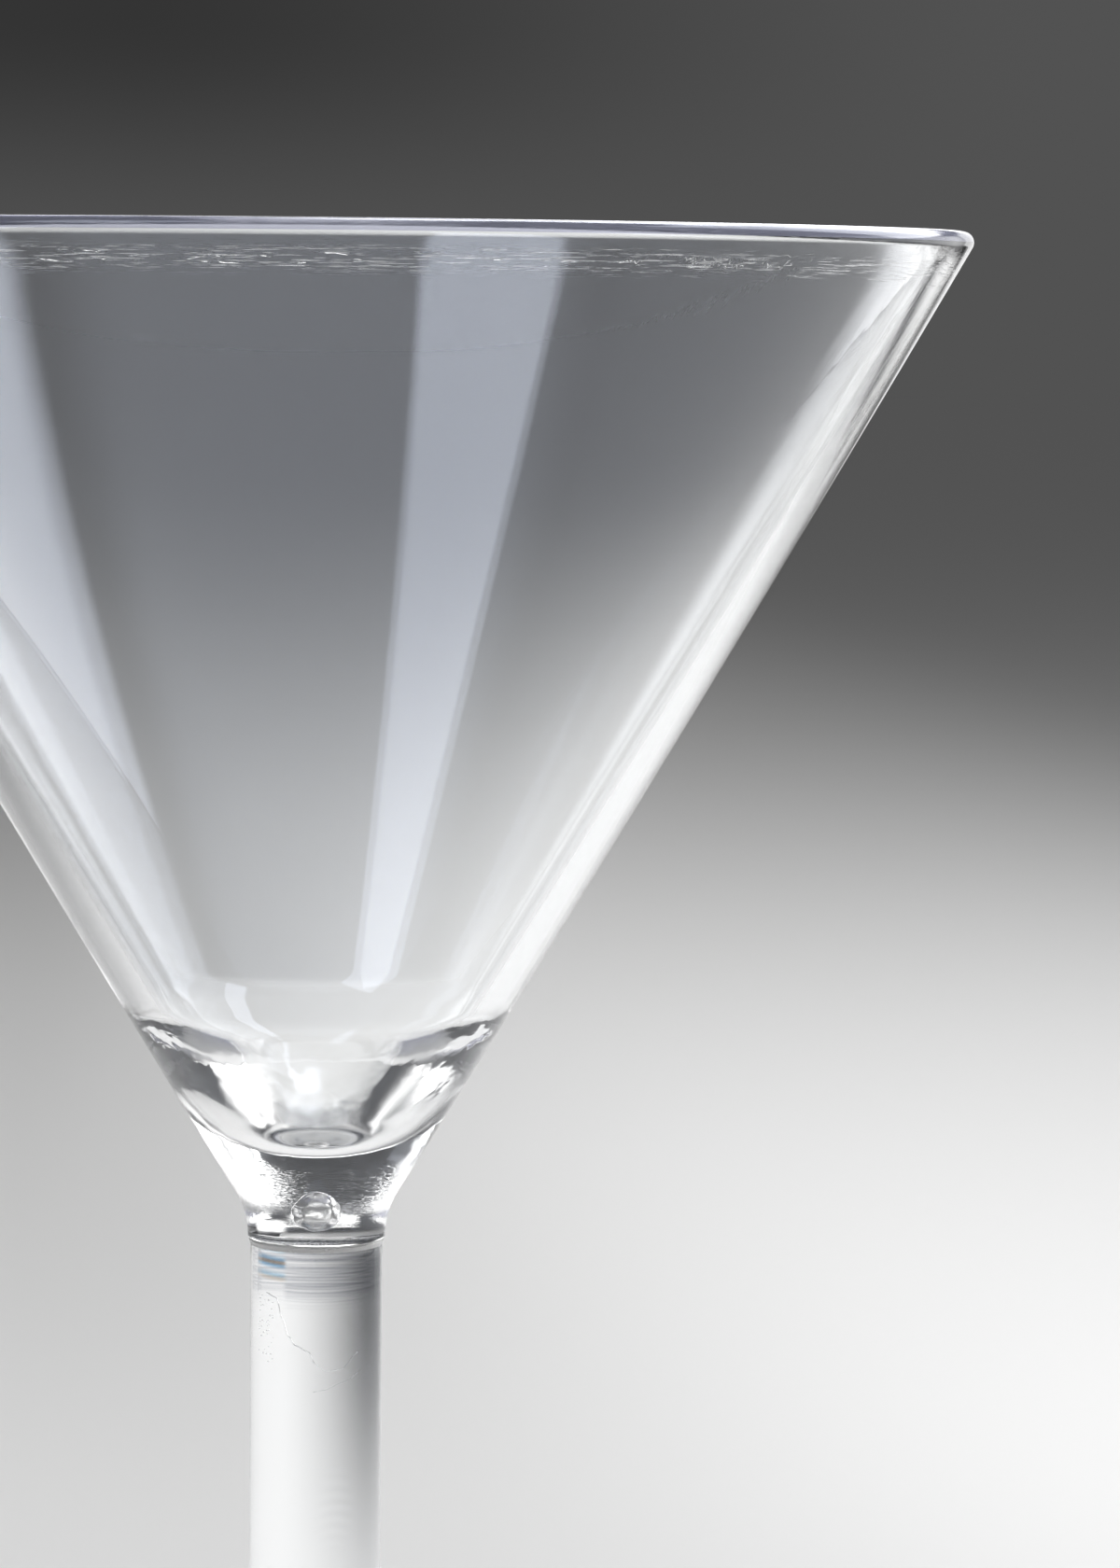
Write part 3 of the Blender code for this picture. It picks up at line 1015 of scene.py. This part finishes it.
def makeFloor():
    deselectAll()
    steps = studio["floorSteps"]
    bpy.ops.mesh.primitive_circle_add(vertices=steps, radius=studio["floorRadius"], fill_type="NGON")
    floor = bpy.context.object
    floor.name = "studio_floor"
    # pale matt paper: an even ground with no gleam
    paper = bpy.data.materials.new("paleFloorPaintedLight")
    paper.use_nodes = True
    tree = paper.node_tree
    shader = tree.nodes["Principled BSDF"]
    shader.inputs["Base Color"].default_value = toLinear(studio["floorColour"])
    shader.inputs["Roughness"].default_value = studio["floorRoughness"]
    shader.inputs["Specular IOR Level"].default_value = 0.0
    # painted light for what the clear pieces show of the nearby floor: painted white by the foot, and
    # further out a painted dim shade behind on the left that runs over to painted white on the right
    place = addNode(tree, "ShaderNodeTexCoord").outputs["Object"]
    split = addNode(tree, "ShaderNodeSeparateXYZ", links={"Vector": place})
    turn = addNode(tree, "ShaderNodeMath", {"operation": "ARCTAN2"}, {
        0: split.outputs["X"],
        1: split.outputs["Y"],
    }).outputs[0]
    far = addNode(tree, "ShaderNodeVectorMath", {"operation": "LENGTH"}, {0: place}).outputs["Value"]
    paintedShadeToWhite = addNode(tree, "ShaderNodeMapRange", {
        "interpolation_type": "SMOOTHSTEP",
        1: math.radians(studio["paintedShadeTurn"]),
        2: math.radians(studio["paintedWhiteTurn"]),
        3: studio["paintedShadeTone"],
    }, {0: turn})
    near = addNode(tree, "ShaderNodeMapRange", {
        "interpolation_type": "SMOOTHSTEP",
        1: studio["paintedWhiteByFoot"][1],
        2: studio["paintedWhiteByFoot"][0],
    }, {0: far})
    tone = addNode(tree, "ShaderNodeMix", {3: 1.0}, {0: near.outputs[0], 2: paintedShadeToWhite.outputs[0]}).outputs[0]
    nearby = addNode(tree, "ShaderNodeMath", {"operation": "MULTIPLY"}, {
        0: addBand(tree, far, noStart, studio["paintedLightEnd"]),
        1: addBand(tree, split.outputs["Y"], studio["paintedLightFront"], noEnd),
    })
    # a painted black shade on the floor, shown only through and in the glass, which draws the dark line
    # inside the bowl's right edge
    across = addNode(tree, "ShaderNodeVectorMath", {
        "operation": "DOT_PRODUCT",
        1: (1, -studio["paintedSideShadeSlant"], 0),
    }, {0: place}).outputs["Value"]
    sideShadeAcross = studio["paintedSideShadeAcross"]
    sideShadeReach = studio["paintedSideShadeReach"]
    paintedSideShade = addNode(tree, "ShaderNodeMath", {"operation": "MULTIPLY"}, {
        0: addBand(tree, across, sideShadeAcross[:2], sideShadeAcross[2:]),
        1: addBand(tree, far, sideShadeReach[:2], sideShadeReach[2:]),
    }).outputs[0]
    tone = addNode(tree, "ShaderNodeMix", {3: studio["paintedSideShadeTone"]}, {0: paintedSideShade, 2: tone})
    # the painted tones are shown as emission only to rays through the glass, and the painted side shade
    # also to reflected rays
    glow = addNode(tree, "ShaderNodeEmission", links={"Color": tone.outputs[0]})
    rays = addNode(tree, "ShaderNodeLightPath")
    either = addNode(tree, "ShaderNodeMath", {"operation": "MAXIMUM"}, {
        0: rays.outputs["Is Transmission Ray"],
        1: rays.outputs["Is Glossy Ray"],
    })
    seen = addNode(tree, "ShaderNodeMath", {"operation": "MULTIPLY"}, {
        0: nearby.outputs[0],
        1: rays.outputs["Is Transmission Ray"],
    })
    paintedSideShadeSeen = addNode(tree, "ShaderNodeMath", {"operation": "MULTIPLY"}, {0: paintedSideShade, 1: either.outputs[0]})
    share = addNode(tree, "ShaderNodeMath", {"operation": "MAXIMUM"}, {
        0: seen.outputs[0],
        1: paintedSideShadeSeen.outputs[0],
    })
    both = addNode(tree, "ShaderNodeMixShader", links={
        0: share.outputs[0],
        1: shader.outputs[0],
        2: glow.outputs[0],
    })
    tree.links.new(both.outputs[0], tree.nodes["Material Output"].inputs["Surface"])
    floor.data.materials.append(paper)


def aimLamp(lamp, name, place, faces, roll):
    holder = bpy.data.objects.new(name, lamp)
    bpy.context.scene.collection.objects.link(holder)
    turn = (Vector(place) - Vector(faces)).to_track_quat("Z", "Y").to_matrix().to_4x4()
    holder.matrix_world = Matrix.Translation(place) @ turn @ Matrix.Rotation(math.radians(roll), 4, "Z")
    holder.visible_camera = False
    return holder


def makeSoftbox(name, centre, faces, width, height, roll, radiance, softEdge, seenBy):
    lamp = bpy.data.lights.new(name, "AREA")
    lamp.shape = "RECTANGLE"
    lamp.size = width
    lamp.size_y = height
    lamp.energy = radiance * math.pi * width * height
    lamp.use_nodes = True
    tree = lamp.node_tree
    place = addNode(tree, "ShaderNodeNewGeometry").outputs["Parametric"]
    split = addNode(tree, "ShaderNodeSeparateXYZ", links={"Vector": place})
    # the lamp's own coordinates run from 0 to 1 across it, and its light fades out towards its edges
    rise = (0, softEdge)
    fall = (1 - softEdge, 1)
    fades = addNode(tree, "ShaderNodeMath", {"operation": "MULTIPLY"}, {
        0: addBand(tree, split.outputs["X"], rise, fall),
        1: addBand(tree, split.outputs["Y"], rise, fall),
    })
    tree.links.new(fades.outputs[0], tree.nodes["Emission"].inputs["Strength"])
    holder = aimLamp(lamp, name, centre, faces, roll)
    holder.visible_diffuse = "diffuse" in seenBy
    holder.visible_glossy = "glossy" in seenBy
    holder.visible_transmission = "transmission" in seenBy


def makeBeam():
    lamp = bpy.data.lights.new("backgroundBeam", "SPOT")
    lamp.spot_size = math.radians(beam["cone"])
    lamp.spot_blend = beam["blend"]
    lamp.shadow_soft_size = beam["radius"]
    lamp.energy = beam["power"]
    aimLamp(lamp, "backgroundBeam", beam["place"], beam["faces"], 0)


def makeRoom():
    # the room is lightest behind the glass, but for a dark corner, and dims to the other sides; the floor
    # takes an even fill from it
    room = bpy.data.worlds.new("dimRoom")
    room.use_nodes = True
    tree = room.node_tree
    way = addNode(tree, "ShaderNodeTexCoord").outputs["Generated"]
    split = addNode(tree, "ShaderNodeSeparateXYZ", links={"Vector": way})
    behind = addNode(tree, "ShaderNodeMapRange", {
        "interpolation_type": "SMOOTHSTEP",
        "From Min": studio["roomBehind"][0],
        "From Max": studio["roomBehind"][1],
    }, {"Value": split.outputs["Y"]})
    tone = addNode(tree, "ShaderNodeMix", {
        "data_type": "RGBA",
        6: toLinear(studio["shadeColour"]),
        7: toLinear(studio["roomColour"]),
    }, {0: behind.outputs[0]})
    across = studio["cornerAcross"]
    up = studio["cornerUp"]
    corner = addNode(tree, "ShaderNodeMath", {"operation": "MULTIPLY"}, {
        0: addBand(tree, split.outputs["X"], across[:2], across[2:]),
        1: addBand(tree, split.outputs["Z"], up[:2], up[2:]),
    })
    tone = addNode(tree, "ShaderNodeMix", {
        "data_type": "RGBA",
        7: toLinear(studio["cornerColour"]),
    }, {0: corner.outputs[0], 6: tone.outputs[2]})
    rays = addNode(tree, "ShaderNodeLightPath")
    fill = addNode(tree, "ShaderNodeMix", {
        "data_type": "RGBA",
        7: toLinear(studio["fillColour"]),
    }, {0: rays.outputs["Is Diffuse Ray"], 6: tone.outputs[2]})
    tree.links.new(fill.outputs[2], tree.nodes["Background"].inputs["Color"])
    bpy.context.scene.world = room


makeFloor()
makeRoom()
for boxName, boxValues in softboxes.items():
    makeSoftbox(boxName, *boxValues)
makeBeam()
print("studio lit")

# Camera: just under rim height, 49 cm from the axis, with a long lens
cameraSizes = {
    "distance": 491 * mm,
    "height": 169 * mm,
    "lens": 125.2,
    "sensor": 36,
    "clipStart": 10 * mm,
    "aimRight": 2.54,
    "aimDown": 5.12,
    "roll": 0.55,
    "lightBounces": 40,
}


def makeCamera():
    data = bpy.data.cameras.new("photoCamera")
    data.lens = cameraSizes["lens"]
    data.sensor_width = cameraSizes["sensor"]
    data.clip_start = cameraSizes["clipStart"]
    camera = bpy.data.objects.new("photoCamera", data)
    bpy.context.scene.collection.objects.link(camera)
    aim = Matrix.Rotation(math.radians(-cameraSizes["aimRight"]), 4, "Z")
    tilt = Matrix.Rotation(math.radians(90 - cameraSizes["aimDown"]), 4, "X")
    roll = Matrix.Rotation(math.radians(cameraSizes["roll"]), 4, "Z")
    place = Matrix.Translation((0, -cameraSizes["distance"], cameraSizes["height"]))
    camera.matrix_world = place @ aim @ tilt @ roll
    bpy.context.scene.camera = camera


makeCamera()
print("camera placed")
bpy.context.scene.view_settings.view_transform = "Standard"
# light is reflected many times in the thick clear base before it comes out again
bpy.context.scene.cycles.max_bounces = cameraSizes["lightBounces"]
bpy.context.scene.cycles.transmission_bounces = cameraSizes["lightBounces"]
bpy.context.scene.cycles.glossy_bounces = cameraSizes["lightBounces"]
deselectAll()
